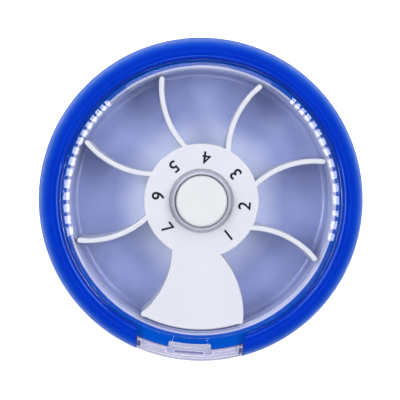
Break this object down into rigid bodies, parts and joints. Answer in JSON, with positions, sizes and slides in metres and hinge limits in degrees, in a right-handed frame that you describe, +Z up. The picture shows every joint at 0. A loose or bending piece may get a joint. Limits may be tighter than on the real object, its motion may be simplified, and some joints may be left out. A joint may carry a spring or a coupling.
{
  "type": "rotating pill organizer",
  "caption": "Round pill organizer: a push button steps a wheel of compartments under a clear cover to a hinged exit flap.",
  "frame": {"origin": "middle of the foot on the surface that it stands on", "axes": "+Z up along the axis of the wheel and button, -Y towards the door"},
  "size_m": [0.09, 0.09, 0.026],
  "materials": {
    "blue_plastic": "satin moulded",
    "clear_plastic": "clear polished",
    "milky_plastic": "translucent satin",
    "white_plastic": "satin moulded",
    "natural_plastic": "natural acetal",
    "spring_steel": "bright strip and wire",
    "black_print": "printed ink",
    "screw_steel": "zinc plated"
  },
  "bodies": {
    "housing": {"bottom_shell": "blue_plastic", "rim_ring": "blue_plastic", "case_screws": "screw_steel", "pill_tray": "milky_plastic", "flap_hinge_pin": "screw_steel", "return_spring": "spring_steel", "holding_pawl": "spring_steel"},
    "cover": {"clear_cover": "clear_plastic"},
    "wheel": {"compartment_wheel": "white_plastic"},
    "button": {"button_cap": "white_plastic", "button_plunger": "natural_plastic"},
    "drive": {"drive_nut": "natural_plastic", "drive_pawls": "spring_steel"},
    "flap": {"dispensing_flap": "clear_plastic"}
  },
  "joints": [
    {"name": "cover_lift", "type": "slide", "parent": "housing", "child": "cover", "axis": [0, 0, 1], "range_m": [0, 0.012]},
    {"name": "wheel_turn", "type": "hinge", "parent": "housing", "child": "wheel", "pos_m": [0, 0, 0.01], "axis": [0, 0, -1], "continuous": true, "deforming": ["drive_pawls", "holding_pawl"]},
    {"name": "button_press", "type": "slide", "parent": "housing", "child": "button", "axis": [0, 0, -1], "range_m": [0, 0.003], "stiffness_N_per_m": 300, "springref_m": -0.003, "deforming": ["return_spring"]},
    {"name": "drive_turn", "type": "hinge", "parent": "housing", "child": "drive", "pos_m": [0, 0, 0.01], "axis": [0, 0, -1], "range_deg": [0, 45]},
    {"name": "flap_open", "type": "hinge", "parent": "housing", "child": "flap", "pos_m": [0, -0.03989, 0.0042], "axis": [1, 0, 0], "range_deg": [0, 70]}
  ],
  "couplings": [
    {"joint": "drive_turn", "follows": "button_press", "rad_per_m": 261.8}
  ]
}
